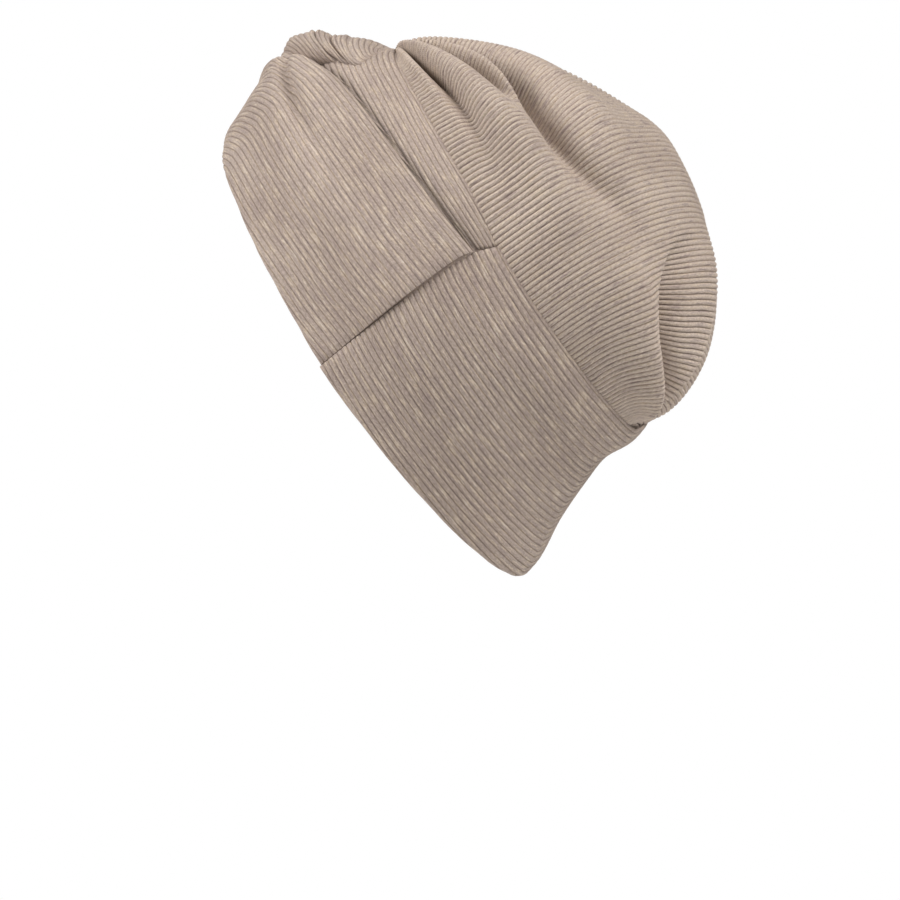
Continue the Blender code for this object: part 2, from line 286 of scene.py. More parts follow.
@dataclass(frozen=True)
class HeatherRibJersey:
    """Heather rib jersey: cotton and viscose yarns of several beiges, spun together and knitted in
    ribs, then washed soft. The eye sees matt ribs with narrow grooves dark with shade, long faint
    streaks of straw and mauve along them, rows of small stitches, and a soft bloom at grazing
    angles. The grooves' shade is painted into the colour as well as cast by the relief.
    """

    name: str
    shade: str = "#BAA99F"
    straw: str = "#C3B19E"
    mauve: str = "#A3938D"
    pale: str = "#CCBFB5"
    # The grooves' colour is painted shade: it is multiplied in the deeper the cloth lies in a groove.
    groove: str = "#958476"
    # The real size of what repeats, in millimetres. The stitches are 0.7 mm on the cloth and are
    # drawn 0.95 mm apart, the finest that shows.
    streak_width: float = 0.55
    streak_length: float = 11.0
    fleck_width: float = 0.35
    fleck_length: float = 1.6
    stitch: float = 0.95
    cloud: float = 30.0
    # How strongly the painted shade darkens the grooves, from 0 to 1.
    groove_shade_strength: float = 0.6

    def place(self, tree: bpy.types.NodeTree, width: float, length: float) -> bpy.types.NodeSocket:
        """The cloth's own coordinates, across and along the ribs, in units of a pattern's size.

        Args:
            tree: The material's node tree.
            width: The pattern's size across the ribs, in millimetres.
            length: Its size along them.

        Returns:
            The scaled coordinates.
        """
        knit = add_node(tree, "ShaderNodeAttribute", {"attribute_name": "knit"})
        scale = (1 / width, 1 / length, 0.0)
        scaled = add_node(tree, "ShaderNodeVectorMath", {"operation": "MULTIPLY"},
                          {0: knit.outputs["Vector"], 1: scale})
        return scaled.outputs["Vector"]

    def noise(self, tree: bpy.types.NodeTree, width: float, length: float,
              detail: float) -> bpy.types.NodeSocket:
        """A noise that is that wide and long on the cloth.

        Args:
            tree: The material's node tree.
            width: The noise's size across the ribs, in millimetres.
            length: Its size along them.
            detail: How many finer octaves it has.

        Returns:
            The noise's value, about 0.5 on average.
        """
        node = add_node(tree, "ShaderNodeTexNoise", {"noise_dimensions": "2D"},
                        {"Vector": self.place(tree, width, length), "Scale": 1.0,
                         "Detail": detail, "Roughness": 0.6})
        return node.outputs["Fac"]

    def colour(self, tree: bpy.types.NodeTree, groove: bpy.types.NodeSocket) -> bpy.types.NodeSocket:
        """The mixed yarns' colour, with painted shade darkening the grooves.

        Args:
            tree: The material's node tree.
            groove: How deep in a groove the cloth is, from 0 to 1.

        Returns:
            The colour.
        """
        streaks = add_node(tree, "ShaderNodeValToRGB",
                           inputs={"Fac": self.noise(tree, self.streak_width * 2, self.streak_length, 3.0)})
        set_stops(streaks, ((0.30, self.mauve), (0.44, self.shade), (0.54, self.shade),
                            (0.63, self.straw), (0.74, self.pale)))
        flecks = add_node(tree, "ShaderNodeValToRGB",
                          inputs={"Fac": self.noise(tree, self.fleck_width * 2, self.fleck_length, 2.0)})
        set_stops(flecks, ((0.28, "#8F8F8F"), (0.5, "#BFBFBF"), (0.72, "#E6E6E6")))
        flecked = add_node(tree, "ShaderNodeMix", {"data_type": "RGBA", "blend_type": "OVERLAY"},
                           {0: 0.38, 6: streaks.outputs["Color"], 7: flecks.outputs["Color"]})
        clouds = add_node(tree, "ShaderNodeMapRange",
                          inputs={"Value": self.noise(tree, self.cloud, self.cloud * 2, 1.0),
                                  "From Min": 0.3, "From Max": 0.7, "To Min": 0.0, "To Max": 0.16})
        clouded = add_node(tree, "ShaderNodeMix", {"data_type": "RGBA", "blend_type": "MULTIPLY"},
                           {0: clouds.outputs["Result"], 6: flecked.outputs[2],
                            7: hex_colour(self.mauve)})
        # Painted shade: the colour darkens towards the groove colour the deeper the cloth lies in a groove.
        deep = add_node(tree, "ShaderNodeMapRange",
                        inputs={"Value": groove, "From Min": 0.35, "From Max": 1.0,
                                "To Min": 0.0, "To Max": self.groove_shade_strength})
        painted_groove_shade = add_node(tree, "ShaderNodeMix", {"data_type": "RGBA", "blend_type": "MULTIPLY"},
                           {0: deep.outputs["Result"], 6: clouded.outputs[2],
                            7: hex_colour(self.groove)})
        return painted_groove_shade.outputs[2]

    def stitches(self, tree: bpy.types.NodeTree) -> bpy.types.NodeSocket:
        """The height of the knit stitches: rows of small chevrons down each rib.

        Args:
            tree: The material's node tree.

        Returns:
            The height, from 0 to 1.
        """
        place = add_node(tree, "ShaderNodeSeparateXYZ",
                         inputs={"Vector": self.place(tree, RIB_PITCH / 2, self.stitch)})
        wale = add_node(tree, "ShaderNodeMath", {"operation": "PINGPONG"},
                        {0: place.outputs["X"], 1: 0.5})
        slanted = add_node(tree, "ShaderNodeMath", {"operation": "ADD"},
                           {0: wale.outputs["Value"], 1: place.outputs["Y"]})
        turn = add_node(tree, "ShaderNodeMath", {"operation": "MULTIPLY"},
                        {0: slanted.outputs["Value"], 1: 2 * math.pi})
        wave = add_node(tree, "ShaderNodeMath", {"operation": "SINE"}, {0: turn.outputs["Value"]})
        fuzz = self.noise(tree, self.fleck_width, self.fleck_width * 1.6, 2.0)
        height = add_node(tree, "ShaderNodeMath", {"operation": "MULTIPLY_ADD"},
                          {0: wave.outputs["Value"], 1: 0.3, 2: fuzz})
        return height.outputs["Value"]

    def make(self) -> bpy.types.Material:
        """Makes the material."""
        made = bpy.data.materials.new(self.name)
        made.use_nodes = True
        tree = made.node_tree
        shader = tree.nodes["Principled BSDF"]
        knit = add_node(tree, "ShaderNodeAttribute", {"attribute_name": "knit"})
        parts = add_node(tree, "ShaderNodeSeparateXYZ", inputs={"Vector": knit.outputs["Vector"]})
        tree.links.new(self.colour(tree, parts.outputs["Z"]), shader.inputs["Base Color"])
        bump = add_node(tree, "ShaderNodeBump",
                        inputs={"Strength": 0.55, "Distance": 0.00035, "Height": self.stitches(tree)})
        tree.links.new(bump.outputs["Normal"], shader.inputs["Normal"])
        rough = add_node(tree, "ShaderNodeMapRange",
                         inputs={"Value": self.noise(tree, 1.0, 6.0, 1.0), "To Min": 0.82, "To Max": 0.97})
        tree.links.new(rough.outputs["Result"], shader.inputs["Roughness"])
        shader.inputs["Specular IOR Level"].default_value = 0.25
        shader.inputs["Sheen Weight"].default_value = 0.22
        shader.inputs["Sheen Roughness"].default_value = 0.45
        shader.inputs["Sheen Tint"].default_value = hex_colour("#E9DDD0")
        return made


def cloth_object(name: str, points: Grid, faces: list, knit: Grid,
                 finish: bpy.types.Material) -> bpy.types.Object:
    """Makes a closed cloth mesh, with its rib coordinates for the finish.

    Args:
        name: The piece's name.
        points: World points in metres, as (count, 3).
        faces: Each face's point numbers.
        knit: For each point, millimetres across the ribs and along them, and its groove share.
        finish: The cloth's material.

    Returns:
        The new object.
    """
    mesh = bpy.data.meshes.new(name)
    mesh.from_pydata(points.tolist(), [], faces)
    attribute = mesh.attributes.new("knit", "FLOAT_VECTOR", "POINT")
    attribute.data.foreach_set("vector", knit.astype(np.float32).ravel())
    build = bmesh.new()
    build.from_mesh(mesh)
    bmesh.ops.recalc_face_normals(build, faces=build.faces)
    build.to_mesh(mesh)
    build.free()
    mesh.shade_smooth()
    mesh.materials.append(finish)
    made = bpy.data.objects.new(name, mesh)
    bpy.context.collection.objects.link(made)
    return made


def joined(points: list[Grid], faces: list[list], knits: list[Grid]) -> tuple[Grid, list, Grid]:
    """Puts several meshes into one.

    Args:
        points: Each mesh's points.
        faces: Each mesh's faces, as point numbers.
        knits: Each mesh's rib coordinates.

    Returns:
        The points, faces and rib coordinates of all of them.
    """
    moved, start = [], 0
    for some_points, some_faces in zip(points, faces):
        moved += [tuple(i + start for i in face) for face in some_faces]
        start += len(some_points)
    return np.concatenate(points), moved, np.concatenate(knits)


def wall_faces(rows: int, columns: int, step: int) -> list[tuple]:
    """The faces of a closed wall whose inner skin has fewer rows than its outer one.

    Args:
        rows: Rows of the outer skin, whose points come first.
        columns: Columns of both.
        step: How many outer rows go to one inner row.

    Returns:
        Each face's point numbers.
    """
    few = (rows - 1) // step + 1

    def outer(r: int, c: int) -> int:
        """A point of the outer skin."""
        return r * columns + c

    def inner(r: int, c: int) -> int:
        """A point of the inner skin."""
        return (rows + r) * columns + c

    faces = [(outer(r, c), outer(r, c + 1), outer(r + 1, c + 1), outer(r + 1, c))
             for r in range(rows - 1) for c in range(columns - 1)]
    faces += [(inner(r, c), inner(r + 1, c), inner(r + 1, c + 1), inner(r, c + 1))
              for r in range(few - 1) for c in range(columns - 1)]
    for r, back in ((0, 0), (rows - 1, few - 1)):
        faces += [(outer(r, c), outer(r, c + 1), inner(back, c + 1), inner(back, c))
                  for c in range(columns - 1)]
    for c in (0, columns - 1):
        for r in range(few - 1):
            rim = tuple(outer(r * step + k, c) for k in range(step, -1, -1))
            faces.append((inner(r, c), inner(r + 1, c)) + rim)
    return faces


def loop_faces(rows: int, columns: int) -> list[tuple]:
    """The faces of a tube whose last row meets its first, with both ends closed.

    Args:
        rows: Rows round the tube.
        columns: Columns along it.

    Returns:
        Each face's point numbers.
    """
    faces = [(r * columns + c, r * columns + c + 1, (r + 1) % rows * columns + c + 1,
              (r + 1) % rows * columns + c) for r in range(rows) for c in range(columns - 1)]
    faces += [tuple(r * columns + c for r in range(rows)) for c in (0, columns - 1)]
    return faces


@dataclass(frozen=True)
class Fold:
    """A fold of the crown, from its gathers across the ribs.

    crest is its line in degrees from the middle of the head towards the left ear, and height its
    height in millimetres, both by the share of the way from the front gather to the back one. A
    height below 0 is a valley. before and after are its half widths in degrees, on the side of
    the middle and on the side of the left ear, and lean is how many degrees its crest leans over.
    """

    crest: Curve
    height: Curve
    before: float
    after: float
    lean: float = 0.0

    def bell(self, share: Grid, turn: Grid) -> Grid:
        """The fold's height at each place.

        Args:
            share: The way from the front gather to the back one.
            turn: Degrees from the middle of the head towards the left ear.

        Returns:
            Millimetres of lift.
        """
        off = turn - through(self.crest, share)
        half = np.where(off < 0, self.before, self.after)
        reach = (share >= self.height[0][0]) & (share <= self.height[-1][0])
        return through(self.height, share) * reach * np.exp(-((off / half) ** 2))


@dataclass
class Crown:
    """The puffed crown: ribs from ear to ear, gathered at the front knot and above the nape.

    outline is its line over the middle of the head, as distance behind the brim's middle and
    height. Lengths are in millimetres: seam_depth is how far outside the form it is sewn on,
    seam_sink how far its rim goes down into the bands' edge, and rim_bulge how far it stands out
    beside that, from rim_start to rim_fade. gather is in degrees from the middle of the head.
    """

    form: HeadForm
    outline: Curve = (
        (-103, 90), (-100.5, 100), (-86, 116.2), (-63.3, 135.6), (-37.5, 151.6), (-11, 162.2),
        (9.5, 161.4), (32, 156), (54, 147.2), (73.5, 129.6), (85.5, 111.5), (90.5, 97), (89, 84),
        (90.2, 79.4),
    )
    folds: tuple[Fold, ...] = (
        Fold(((0, 78), (0.12, 77), (0.25, 79), (0.45, 86)),
             ((0, 2), (0.12, 5), (0.2, 4), (0.3, 0)), 3.5, 5),
        Fold(((0, 70), (0.2, 71), (0.33, 74), (0.4, 78), (0.46, 82)),
             ((0, -3), (0.07, -10), (0.12, -14), (0.18, -13.5), (0.28, -8), (0.42, -3), (0.5, 0)),
             4.4, 3.4),
        Fold(((0, 60), (0.2, 57.5), (0.33, 59), (0.45, 62), (0.6, 62)),
             ((0, 3), (0.12, 8.5), (0.25, 9.5), (0.36, 8.5), (0.46, 5.5), (0.6, 0)), 7.5, 9),
        Fold(((0, 46), (0.22, 46), (0.3, 48), (0.36, 50)),
             ((0, -3), (0.1, -8), (0.2, -9), (0.28, -5), (0.36, 0)), 3.4, 4),
        Fold(((0, 38), (0.14, 36), (0.22, 39), (0.3, 44), (0.36, 47)),
             ((0, 1), (0.12, 4.5), (0.24, 5), (0.36, 0)), 4, 3.5),
        Fold(((0, 27), (0.08, 24), (0.14, 24.5), (0.25, 32), (0.36, 43.5), (0.44, 49), (0.5, 47),
              (0.58, 40)),
             ((0, -3), (0.1, -12), (0.25, -16), (0.36, -15), (0.45, -11), (0.52, -6), (0.62, 0)), 4.6, 4.8),
        Fold(((0, 14), (0.15, 9), (0.3, 20), (0.42, 30), (0.5, 32), (0.62, 28)),
             ((0, 2), (0.15, 4.5), (0.35, 6.5), (0.5, 4.5), (0.62, 0)), 13, 9),
        Fold(((0, -12), (0.5, -16)), ((0, 0), (0.18, -5), (0.42, 0)), 6, 6),
        Fold(((0, -30), (0.5, -34)), ((0, 2), (0.2, 4.5), (0.5, 0)), 10, 10),
        Fold(((0, -48), (0.5, -54)), ((0, 0), (0.2, -7), (0.5, 0)), 6, 6),
        Fold(((0, -64), (0.5, -68)), ((0, 1), (0.2, 4), (0.42, 0)), 8, 8),
        Fold(((0.62, 48), (0.72, 46), (0.8, 48), (0.9, 40), (1, 20)),
             ((0.6, 0), (0.7, 4), (0.8, 8), (0.9, 7), (1, 0)), 7, 20),
        Fold(((0.64, 14), (0.7, 25), (0.76, 31), (0.84, 31), (0.9, 18), (0.96, 0)),
             ((0.64, 0), (0.7, -10), (0.78, -20), (0.86, -18), (0.93, -8), (1, 0)), 12, 5.5),
        Fold(((0.66, 22), (0.72, 33), (0.78, 38), (0.85, 37), (0.92, 26)),
             ((0.66, 0), (0.73, -6), (0.8, -9), (0.87, -7), (0.94, 0)), 3.2, 2.8),
        Fold(((0.6, -6), (0.8, -8), (0.95, 2)), ((0.6, 0), (0.82, 3.5), (1, 0)), 8, 8),
        Fold(((0.6, -26), (1, -22)), ((0.6, 0), (0.8, -7), (1, 0)), 8, 8),
        Fold(((0.6, -50), (1, -48)), ((0.58, 0), (0.8, 5), (1, 0)), 14, 14),
    )
    wall: float = 1.8
    seam_depth: float = 1.5
    seam_sink: float = 1.3
    puff: float = 8.1
    roundness: float = 0.92
    fold_fade: float = 0.5
    gather: float = 4.0
    rib_depth: float = 0.95
    rim_bulge: float = 1.5
    rim_start: float = 1.2
    rim_fade: float = 9.0
    rim_ends: float = 24.0
    ribs: int = 112
    columns: int = 141
    column_packing: float = 1.2
    rim_turn: float = 0.9999

    def base(self, share: Grid, turn: Grid) -> Grid:
        """The crown without its folds.

        Args:
            share: The way from the front gather to the back one.
            turn: Radians from the middle of the head towards the left ear.

        Returns:
            The points, in the band frame.
        """
        angle = self.gather + (180 - 2 * self.gather) * share
        seam = self.form.point(angle, self.form.edge(self.form.seam, angle) - self.seam_sink, self.seam_depth)
        legs = [math.dist(a, b) for a, b in zip(self.outline, self.outline[1:])]
        lengths = np.concatenate(([0.0], np.cumsum(legs)))
        tops = [through(tuple(zip(lengths, axis)), share * lengths[-1]) for axis in zip(*self.outline)]
        rise = np.maximum(np.cos(turn), 0.0) ** self.roundness
        swell = self.puff * np.sin(math.pi * share)
        across = seam[..., 0] * np.sin(turn) + swell * np.sin(2 * turn)
        back = seam[..., 1] + (tops[0] - seam[..., 1]) * rise
        up = seam[..., 2] + (tops[1] - seam[..., 2]) * rise
        return np.stack((across, back, up), axis=-1)

    def folded(self, share: Grid, turn: Grid) -> Grid:
        """The crown with its folds, as a smooth surface.

        Args:
            share: The way from the front gather to the back one.
            turn: Radians from the middle of the head towards the left ear.

        Returns:
            The points, in the band frame.
        """
        degrees = np.degrees(turn)
        fade = np.maximum(np.cos(turn), 0.0) ** self.fold_fade
        lift, leaned = np.zeros_like(turn), turn
        for fold in self.folds:
            bell = fold.bell(share, degrees) * fade
            lift = lift + bell
            if fold.lean:
                leaned = leaned + np.radians(fold.lean) * bell / max(abs(h) for _, h in fold.height)
        base = self.base(share, leaned)
        return base - grid_normals(base) * lift[..., None]

    def build(self, finish: bpy.types.Material) -> bpy.types.Object:
        """Builds the crown.

        Args:
            finish: The cloth's material.

        Returns:
            The crown's object.
        """
        ribs = np.append((np.arange(self.ribs)[:, None] + np.array(RIB_PLACES)).ravel(), self.ribs)
        even = np.linspace(-1, 1, self.columns)
        turns = np.sign(even) * (1 - (1 - np.abs(even)) ** self.column_packing) * math.pi / 2 * self.rim_turn
        rib, turn = np.meshgrid(ribs, turns, indexing="ij")
        share = rib / self.ribs
        smooth = self.folded(share, turn)
        angle = np.degrees(np.arctan2(smooth[..., 0], -smooth[..., 1]))
        floor = self.form.edge(self.form.seam, angle) - self.seam_sink
        smooth[..., 2] = np.maximum(smooth[..., 2], floor)
        normals = -grid_normals(smooth)
        run = run_along(smooth)
        from_rim = np.abs(run[:, :1]) - np.abs(run)
        from_gathers = np.clip(np.minimum(share, 1 - share) * self.rim_ends, 0, 1)
        bulge = self.rim_bulge * np.sin(math.pi / 2 * from_gathers)
        bulge = bulge * (1 - np.exp(-from_rim / self.rim_start)) * np.exp(-from_rim / self.rim_fade)
        groove = groove_share(rib)
        outer = smooth + normals * (bulge - self.rib_depth * groove)[..., None]
        step = len(RIB_PLACES)
        inner = smooth[::step] - normals[::step] * self.wall
        knit = np.stack((rib * RIB_PITCH, run, groove), axis=-1)
        points = np.concatenate((outer.reshape(-1, 3), inner.reshape(-1, 3)))
        knits = np.concatenate((knit.reshape(-1, 3), knit[::step].reshape(-1, 3)))
        faces = wall_faces(len(ribs), self.columns, step)
        return cloth_object("crown_cloth", self.form.leaned(points), faces, knits, finish)


@dataclass
class FoldedStrip:
    """A strip of jersey folded double, whose ribs run along it and round its lower fold.

    Its ribs count from the anchor edge, which is a seam or a ridge, over the outer face and round
    the far edge. What is left of the inner face has few rows. seam_swing is how many degrees the
    side seams' tops are swung back, above swing_start and by the height of swing_height, and
    seam_dip how far the face is drawn in beside a seam, over dip_reach, both in millimetres.
    """

    form: HeadForm
    rib_depth: float = 0.5
    inner_rows: int = 10
    section_points: int = 90
    edge_reach: float = 3.6
    seam_swing: float = 4.2
    swing_start: float = 77.0
    swing_height: float = 20.0
    swing_power: float = 1.8
    edge_share: float = 0.3
    edge_points: int = 6
    laid_share: float = 0.9
    seam_dip: float = 0.6
    dip_reach: float = 1.3
    side_degree: float = 1.9

    def clear(self) -> float:
        """How far the strip keeps from the middle of a side seam, in degrees."""
        return math.degrees(SEAM_GAP / 2 / self.form.side[2][1])

    def dip(self, degrees: Grid) -> Grid:
        """How far the face is drawn in, by the degrees from a side seam."""
        return self.seam_dip * np.exp(-((degrees * self.side_degree / self.dip_reach) ** 2))

    def swung(self, angles: Grid, heights: Grid) -> Grid:
        """Swings the top of both side seams back, in degrees.

        Args:
            angles: The outline's angles.
            heights: Its heights.

        Returns:
            The angles, which change most at the seams' tops and not at all in front and behind.
        """
        rise = np.clip((heights - self.swing_start) / self.swing_height, 0, 1) ** self.swing_power
        sideways = np.sin(np.radians(angles))
        return angles + self.seam_swing * rise * sideways * np.abs(sideways)

    def section(self, anchor: Grid, far: Grid, top: Grid, base: Grid) -> tuple[Grid, Grid, Grid]:
        """The outline of the strip across its ribs, with round edges.

        Args:
            anchor: The anchor edge's height, by column.
            far: The far edge's height, by column.
            top: The outer face's depth, as (columns, section points), from anchor to far edge.
            base: The inner face's depth, by column.

        Returns:
            Heights, depths and the place between the edges, from 0 at the anchor to 1, all as
            (columns, points) round the outline from the middle of the anchor edge.
        """
        across = np.linspace(0, 1, self.section_points)
        base = base[:, None]
        rounding = (top - base) / 2
        width = np.abs(far - anchor)[:, None]
        way = np.sign(far - anchor)[:, None]
        inset = np.minimum(rounding, np.minimum(width * self.edge_share, self.edge_reach))
        arc = np.linspace(0, 1, self.edge_points)[None, :-1] * math.pi / 2
        near_inset, far_inset = inset[:, :1], inset[:, -1:]
        near_half, far_half = rounding[:, :1], rounding[:, -1:]
        near_middle, far_middle = base + near_half, base + far_half
        face = anchor[:, None] + way * (near_inset + (width - near_inset - far_inset) * across)
        near = anchor[:, None] + way * near_inset
        end = far[:, None] - way * far_inset
        heights = [near - way * near_inset * np.cos(arc), face, end + way * far_inset * np.sin(arc)[:, 1:],
                   end + way * far_inset * np.cos(arc), face[:, ::-1],
                   near - way * near_inset * np.sin(arc)[:, 1:]]
        flat = np.broadcast_to(base, top.shape)
        depths = [near_middle + near_half * np.sin(arc), top, far_middle + far_half * np.cos(arc)[:, 1:],
                  far_middle - far_half * np.sin(arc), flat, near_middle - near_half * np.cos(arc)[:, 1:]]
        count = arc.shape[1]
        places = np.concatenate((np.zeros(count), across, np.ones(2 * count - 1), across[::-1],
                                 np.zeros(count - 1)))
        heights, depths = np.concatenate(heights, axis=1), np.concatenate(depths, axis=1)
        return heights, depths, np.broadcast_to(places, heights.shape)

    def strip(self, angles: Grid, heights: Grid, depths: Grid, ribs: int, first: float,
              deep: Curve | None = None, fade: Grid | None = None) -> tuple[Grid, list, Grid]:
        """Lays the ribs round the strip's outline.

        Args:
            angles: The outline's angles, as (columns, points).
            heights: Its heights.
            depths: Its depths.
            ribs: How many ribs are laid with their full relief.
            first: The first rib's number, which only shifts the yarn's pattern.
            deep: Extra groove depth by rib number.
            fade: Where the extra depth shows, from 0 to 1 by column.

        Returns:
            Points in the band frame, faces, and rib coordinates.
        """
        outline = self.form.point(angles, heights, depths)
        steps = np.linalg.norm(np.diff(outline, axis=1, append=outline[:, :1]), axis=2)
        reach = np.concatenate((np.zeros((len(angles), 1)), np.cumsum(steps, axis=1)), axis=1)
        total = reach[:, -1]
        laid = np.append((np.arange(ribs)[:, None] + np.array(RIB_PLACES)).ravel(), ribs)
        scale = np.minimum(1.0, self.laid_share * total / (ribs * RIB_PITCH))
        near = laid[None, :] * RIB_PITCH * scale[:, None]
        rest = np.linspace(0, 1, self.inner_rows + 1)[None, 1:-1]
        inner = near[:, -1:] + (total[:, None] - near[:, -1:]) * rest
        places = np.concatenate((near, inner), axis=1)
        closed = [np.concatenate((values, values[:, :1]), axis=1) for values in (angles, heights, depths)]
        rows = [[np.interp(p, r, v) for p, r, v in zip(places, reach, values)] for values in closed]
        grid = self.form.point(*(np.array(values).T for values in rows))
        rib = np.concatenate((np.broadcast_to(laid, near.shape), inner / RIB_PITCH), axis=1).T
        relief = np.concatenate((np.ones(len(laid)), np.zeros(self.inner_rows - 1)))[:, None]
        groove = groove_share(rib) * relief
        depth = self.rib_depth * groove
        if deep is not None:
            depth = depth + np.interp(rib, *zip(*deep)) * fade[None, :] * relief
        normals = grid_normals(grid, closed=True)
        centre = grid.mean(axis=0, keepdims=True)
        outward = np.sign(np.sum(normals * (grid - centre)))
        moved = grid - normals * outward * depth[..., None]
        run = run_along(grid)
        knit = np.stack(((rib + first) * RIB_PITCH, run, groove), axis=-1)
        return moved.reshape(-1, 3), loop_faces(*grid.shape[:2]), knit.reshape(-1, 3)


def seam_columns(start: float, end: float, step: float) -> Grid:
    """Angles from a seam, with fine columns beside it.

    Args:
        start: The seam's angle.
        end: The last angle.
        step: The usual step, in degrees.

    Returns:
        The angles.
    """
    way = math.copysign(1.0, end - start)
    fine = np.array(SEAM_COLUMNS)
    count = round((abs(end - start) - fine[-1]) / step)
    rest = np.linspace(fine[-1], abs(end - start), count + 1)
    return start + way * np.concatenate((fine[:-1], rest))


@dataclass
class BackBand(FoldedStrip):
    """The folded band round the back of the head, from side seam to side seam."""

    wall: float = 3.0
    column_step: float = 1.2
    ribs: int = 38

    def build(self, finish: bpy.types.Material) -> bpy.types.Object:
        """Builds the band.

        Args:
            finish: The cloth's material.

        Returns:
            The band's object.
        """
        left = seam_columns(90 + self.clear(), 180, self.column_step)
        angles = np.concatenate((left, 360 - left[-2::-1]))
        low = self.form.edge(self.form.nape_brim, angles)
        high = self.form.edge(self.form.seam, angles) - SEAM_GAP
        dip = self.dip(np.minimum(angles - angles[0], angles[-1] - angles))
        top = np.broadcast_to((self.wall - dip)[:, None], (len(angles), self.section_points))
        heights, depths, _ = self.section(high, low, top, np.zeros(len(angles)))
        wide = self.swung(np.broadcast_to(angles[:, None], heights.shape), heights)
        points, faces, knit = self.strip(wide, heights, depths, self.ribs, 0.0)
        return cloth_object("back_band_cloth", self.form.leaned(points), faces, knit, finish)


@dataclass
class Wrap(FoldedStrip):
    """One front wrap: a broad fold that crosses the forehead and a narrow fold under the other's.

    ridge is the line between the two folds as a share of the band's height, by angle, from the
    brim on the left and from the crown seam on the right, and ridge_gap keeps the folds apart.
    roll is how far the broad fold stands up where the two wraps cross, by the distance from the
    ridge as a share of its width; it fades by roll_fade degrees. Past the middle the fold goes on
    to roll_end, in the outline end_arc, thinning to end_depth, and its inner face is lifted
    there by crossing_lift off the other wrap, over the angles of crossing_span. valley is a long
    dent, which comes in over valley_in and goes out over valley_out, in degrees. creases is extra
    groove depth by rib. broad_first and narrow_first number the first ribs, so that the yarn's
    pattern differs.
    """

    side: Side = Side.LEFT
    wall: float = 2.4
    column_step: float = 1.0
    ridge: Curve = (
        (0, 0.45), (5, 0.51), (9, 0.58), (17, 0.652), (24, 0.698), (30, 0.735), (40, 0.768),
        (58, 0.81), (77, 0.85), (90, 0.9),
    )
    ridge_gap: float = 0.006
    ridge_step: float = 2.8
    step_reach: float = 0.6
    crease_depth: float = 2.2
    crease_width: float = 3.5
    roll: Curve = (
        (0, 9.5), (0.1, 11.2), (0.2, 10), (0.3, 8), (0.4, 7.4), (0.5, 6.8), (0.6, 6.1), (0.73, 5.6),
        (0.87, 5.4), (0.95, 4.2), (1, 1.8),
    )
    valley: float = 5.0
    valley_height: float = 52.5
    valley_width: float = 4.0
    valley_in: tuple[float, float] = (8.0, 13.0)
    valley_out: tuple[float, float] = (22.0, 66.0)
    roll_fade: float = 48.0
    roll_end: float = 24.0
    end_arc: Curve = (
        (0, 0.42), (0.2, 0.58), (0.35, 0.71), (0.52, 0.82), (0.66, 0.98), (0.73, 1), (0.81, 0.84),
        (0.9, 0.47), (1, 0),
    )
    end_depth: float = 2.0
    end_rise: float = 0.04
    crossing_drop: float = 0.05
    crossing_lift: float = 1.2
    crossing_span: tuple[float, float] = (-1.0, 3.0)
    roll_columns: int = 30
    tuck: float = 0.06
    narrow_end: float = 0.2
    broad_ribs: int = 33
    narrow_ribs: int = 17
    broad_first: float = 40.0
    narrow_first: float = 80.0
    creases: Curve = ((0, 0), (1, 0))

    def height(self, angle: Grid, share: Grid) -> Grid:
        """The height at a share of the band's width.

        Args:
            angle: Degrees round the band.
            share: The share, from the brim on the left and from the crown seam on the right.

        Returns:
            Millimetres above the brim's plane.
        """
        low = self.form.edge(self.form.brim, angle)
        high = self.form.edge(self.form.seam, angle) - SEAM_GAP
        return low + (high - low) * (share if self.side is Side.LEFT else 1 - share)

    def broad(self) -> tuple[Grid, list, Grid]:
        """The broad fold, from the side seam over the middle of the forehead to its tucked end.

        Returns:
            Points in the band frame, faces, and rib coordinates.
        """
        angle = seam_columns(90 - self.clear(), 0.0, self.column_step)
        crossing = np.sin(np.linspace(0, math.pi / 2, self.roll_columns + 1))[1:]
        crossed = np.concatenate((np.zeros(len(angle)), crossing))
        angle = np.concatenate((angle, -self.roll_end * crossing))
        open_end = np.sqrt(np.clip(1 - crossed**2, 0.0, 1.0))[:, None]
        rolled = 1 - smooth_step(0, self.roll_fade, np.clip(angle, 0, None))
        ridge = through(self.ridge, angle) - self.ridge_gap - self.crossing_drop * crossed
        base = self.crossing_lift * (1 - smooth_step(*self.crossing_span, angle))
        across = np.linspace(0, 1, self.section_points)[None, :]
        step = self.ridge_step * smooth_step(0, self.step_reach, 1 - across)
        lift = step * (1 - rolled[:, None]) + through(self.roll, across) * rolled[:, None]
        angles = self.side.value * angle
        far = np.where(angle > 0, 0.0, self.end_rise * crossed)
        anchor, end = self.height(angles, ridge), self.height(angles, far)
        from_valley = anchor[:, None] + (end - anchor)[:, None] * across - self.valley_height
        depth = self.valley * smooth_step(*self.valley_in, angle)
        depth = depth * (1 - smooth_step(*self.valley_out, angle))
        lift = lift - depth[:, None] * np.exp(-((from_valley / self.valley_width) ** 2))
        top = self.wall + lift - self.dip(angle[0] - angle)[:, None]
        top = np.where(angle[:, None] > 0, top, self.end_depth + (top - self.end_depth) * open_end)
        heights, depths, places = self.section(anchor, end, top, base)
        arc = through(self.end_arc, places)
        wide = np.where(angle[:, None] > 0, angles[:, None], angles[:, None] * arc)
        return self.strip(self.swung(wide, heights), heights, depths, self.broad_ribs, self.broad_first,
                          self.creases, rolled)

